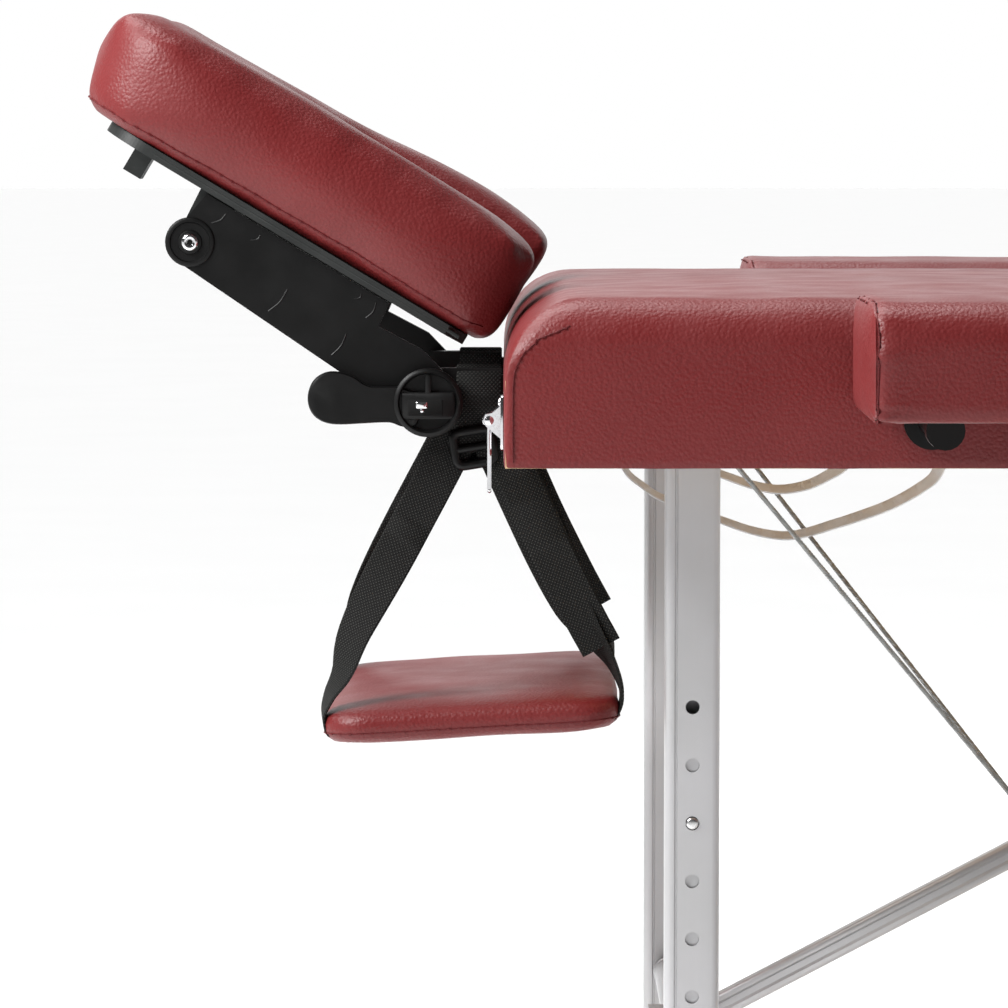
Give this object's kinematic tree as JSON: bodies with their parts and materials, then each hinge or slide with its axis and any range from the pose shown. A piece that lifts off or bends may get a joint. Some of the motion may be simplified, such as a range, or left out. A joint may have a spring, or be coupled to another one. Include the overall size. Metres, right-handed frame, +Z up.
{
  "type": "portable massage table",
  "caption": "Folding massage table with padded top, telescopic aluminium legs, tilting face cradle, forearm sling and side armrests.",
  "frame": {"origin": "middle of the footprint, on the floor", "axes": "+X from the head end to the foot end, +Y to the side away from the cam lever, +Z up"},
  "size_m": [2.0974, 0.92, 0.8605],
  "materials": {
    "leather": "pebble-grained dark red vinyl leather, semi-gloss",
    "wood": "clear-finished birch plywood and rails",
    "aluminium": "satin anodised extrusion",
    "steel": "bright zinc-plated steel",
    "chrome": "polished chrome plate",
    "black_plastic": "fine-textured black moulded nylon",
    "webbing": "black woven polypropylene webbing",
    "elastic": "grey knitted elastic tape",
    "rubber": "matt black rubber",
    "wire_rope": "stranded galvanised wire rope"
  },
  "bodies": {
    "head_half": {"head_cushion": "leather", "head_frame": "wood", "head_hinge_leaf": "steel", "head_leg_axle": "steel", "latch_plate_near": "chrome", "latch_plate_far": "chrome", "head_cable": "wire_rope", "band_long": "elastic", "band_short": "elastic", "armrest_socket_near_1": "black_plastic", "armrest_socket_near_2": "black_plastic", "armrest_socket_far_1": "black_plastic", "armrest_socket_far_2": "black_plastic"},
    "foot_half": {"foot_cushion": "leather", "foot_frame": "wood", "foot_hinge_leaf": "steel", "foot_leg_axle": "steel", "latch_catch_near": "chrome", "latch_catch_far": "chrome", "foot_cable": "wire_rope"},
    "head_legs": {"head_outer_leg_near": "aluminium", "head_outer_leg_far": "aluminium", "head_crossbar": "aluminium"},
    "head_lower_strut": {"head_lower_strut": "aluminium"},
    "head_upper_strut": {"head_upper_strut": "aluminium"},
    "head_inner_leg_near": {"head_inner_leg_near": "aluminium", "head_foot_cap_near": "rubber"},
    "head_leg_button_near": {"head_leg_button_near": "steel"},
    "head_inner_leg_far": {"head_inner_leg_far": "aluminium", "head_foot_cap_far": "rubber"},
    "head_leg_button_far": {"head_leg_button_far": "steel"},
    "foot_legs": {"foot_outer_leg_near": "aluminium", "foot_outer_leg_far": "aluminium", "foot_crossbar": "aluminium"},
    "foot_lower_strut": {"foot_lower_strut": "aluminium"},
    "foot_upper_strut": {"foot_upper_strut": "aluminium"},
    "foot_inner_leg_near": {"foot_inner_leg_near": "aluminium", "foot_foot_cap_near": "rubber"},
    "foot_leg_button_near": {"foot_leg_button_near": "steel"},
    "foot_inner_leg_far": {"foot_inner_leg_far": "aluminium", "foot_foot_cap_far": "rubber"},
    "foot_leg_button_far": {"foot_leg_button_far": "steel"},
    "latch_hook_near": {"latch_hook_near": "chrome"},
    "latch_hook_far": {"latch_hook_far": "chrome"},
    "cradle_base": {"cradle_base": "black_plastic", "cradle_axle": "steel", "sling_strap_near": "webbing", "sling_strap_far": "webbing", "sling_buckle_near": "black_plastic", "sling_buckle_far": "black_plastic"},
    "cradle_arms": {"cradle_arm_near": "black_plastic", "cradle_arm_far": "black_plastic"},
    "cradle_platform": {"cradle_platform": "black_plastic", "face_cushion": "leather"},
    "cam_lever": {"cam_lever": "black_plastic"},
    "sling": {"sling_shelf": "leather"},
    "armrest_near": {"armrest_pad_near": "leather", "armrest_frame_near": "black_plastic"},
    "armrest_far": {"armrest_pad_far": "leather", "armrest_frame_far": "black_plastic"}
  },
  "joints": [
    {"name": "centre_fold", "type": "hinge", "parent": "head_half", "child": "foot_half", "pos_m": [0.119, 0, 0.608], "axis": [0, 1, 0], "range_deg": [0, 180], "deforming": ["head_cable", "foot_cable", "band_long", "band_short"]},
    {"name": "head_legs_fold", "type": "hinge", "parent": "head_half", "child": "head_legs", "pos_m": [-0.699, 0, 0.628], "axis": [0, -1, 0], "range_deg": [-0.5, 90.5]},
    {"name": "head_lower_strut_fold", "type": "hinge", "parent": "head_legs", "child": "head_lower_strut", "pos_m": [-0.699, 0, 0.246], "axis": [0, -1, 0], "range_deg": [-0.5, 62.72]},
    {"name": "head_upper_strut_fold", "type": "hinge", "parent": "head_half", "child": "head_upper_strut", "pos_m": [-0.1483, 0, 0.628], "axis": [0, 1, 0], "range_deg": [-0.5, 39.41]},
    {"name": "head_leg_height_near", "type": "slide", "parent": "head_legs", "child": "head_inner_leg_near", "axis": [0, 0, -1], "range_m": [-0.0662, 0.1324]},
    {"name": "head_leg_button_press_near", "type": "slide", "parent": "head_inner_leg_near", "child": "head_leg_button_near", "axis": [0, 1, 0], "range_m": [0, 0.004], "stiffness_N_per_m": 500, "springref_m": -0.003},
    {"name": "head_leg_height_far", "type": "slide", "parent": "head_legs", "child": "head_inner_leg_far", "axis": [0, 0, -1], "range_m": [-0.0662, 0.1324]},
    {"name": "head_leg_button_press_far", "type": "slide", "parent": "head_inner_leg_far", "child": "head_leg_button_far", "axis": [0, -1, 0], "range_m": [0, 0.004], "stiffness_N_per_m": 500, "springref_m": -0.003},
    {"name": "foot_legs_fold", "type": "hinge", "parent": "foot_half", "child": "foot_legs", "pos_m": [0.937, 0, 0.628], "axis": [0, 1, 0], "range_deg": [-0.5, 90.5]},
    {"name": "foot_lower_strut_fold", "type": "hinge", "parent": "foot_legs", "child": "foot_lower_strut", "pos_m": [0.937, 0, 0.246], "axis": [0, 1, 0], "range_deg": [-0.5, 62.72]},
    {"name": "foot_upper_strut_fold", "type": "hinge", "parent": "foot_half", "child": "foot_upper_strut", "pos_m": [0.3863, 0, 0.628], "axis": [0, -1, 0], "range_deg": [-0.5, 39.41]},
    {"name": "foot_leg_height_near", "type": "slide", "parent": "foot_legs", "child": "foot_inner_leg_near", "axis": [0, 0, -1], "range_m": [-0.0662, 0.1324]},
    {"name": "foot_leg_button_press_near", "type": "slide", "parent": "foot_inner_leg_near", "child": "foot_leg_button_near", "axis": [0, 1, 0], "range_m": [0, 0.004], "stiffness_N_per_m": 500, "springref_m": -0.003},
    {"name": "foot_leg_height_far", "type": "slide", "parent": "foot_legs", "child": "foot_inner_leg_far", "axis": [0, 0, -1], "range_m": [-0.0662, 0.1324]},
    {"name": "foot_leg_button_press_far", "type": "slide", "parent": "foot_inner_leg_far", "child": "foot_leg_button_far", "axis": [0, -1, 0], "range_m": [0, 0.004], "stiffness_N_per_m": 500, "springref_m": -0.003},
    {"name": "latch_hook_swing_near", "type": "hinge", "parent": "head_half", "child": "latch_hook_near", "pos_m": [-0.814, -0.2, 0.629], "axis": [0, 1, 0], "range_deg": [0, 75]},
    {"name": "latch_hook_swing_far", "type": "hinge", "parent": "head_half", "child": "latch_hook_far", "pos_m": [-0.814, 0.2, 0.629], "axis": [0, 1, 0], "range_deg": [0, 75]},
    {"name": "cradle_pull_out", "type": "slide", "parent": "head_half", "child": "cradle_base", "axis": [-1, 0, 0], "range_m": [0, 0.04]},
    {"name": "cradle_arm_tilt", "type": "hinge", "parent": "cradle_base", "child": "cradle_arms", "pos_m": [-0.8496, 0, 0.635], "axis": [0, -1, 0], "range_deg": [-4, 38.5]},
    {"name": "cradle_platform_tilt", "type": "hinge", "parent": "cradle_arms", "child": "cradle_platform", "pos_m": [-0.988, 0, 0.7276], "axis": [0, -1, 0], "range_deg": [0, 25]},
    {"name": "cam_lever_turn", "type": "hinge", "parent": "cradle_base", "child": "cam_lever", "pos_m": [-0.8496, -0.13, 0.635], "axis": [0, -1, 0], "range_deg": [0, 80]},
    {"name": "sling_swing", "type": "hinge", "parent": "cradle_base", "child": "sling", "pos_m": [-0.8202, 0, 0.6], "axis": [0, 1, 0], "range_deg": [-0.5, 35.5], "deforming": ["sling_strap_near", "sling_strap_far"]},
    {"name": "armrest_pull_out_near", "type": "slide", "parent": "head_half", "child": "armrest_near", "axis": [0, -1, 0], "range_m": [0, 0.02]},
    {"name": "armrest_pull_out_far", "type": "slide", "parent": "head_half", "child": "armrest_far", "axis": [0, 1, 0], "range_m": [0, 0.02]}
  ],
  "couplings": [
    {"joint": "head_legs_fold", "follows": "centre_fold", "ratio": 0.5},
    {"joint": "head_lower_strut_fold", "follows": "centre_fold", "ratio": 0.34564},
    {"joint": "head_upper_strut_fold", "follows": "centre_fold", "ratio": 0.21619},
    {"joint": "foot_legs_fold", "follows": "centre_fold", "ratio": 0.5},
    {"joint": "foot_lower_strut_fold", "follows": "centre_fold", "ratio": 0.34564},
    {"joint": "foot_upper_strut_fold", "follows": "centre_fold", "ratio": 0.21619},
    {"joint": "sling_swing", "follows": "centre_fold", "ratio": 0.19444}
  ]
}
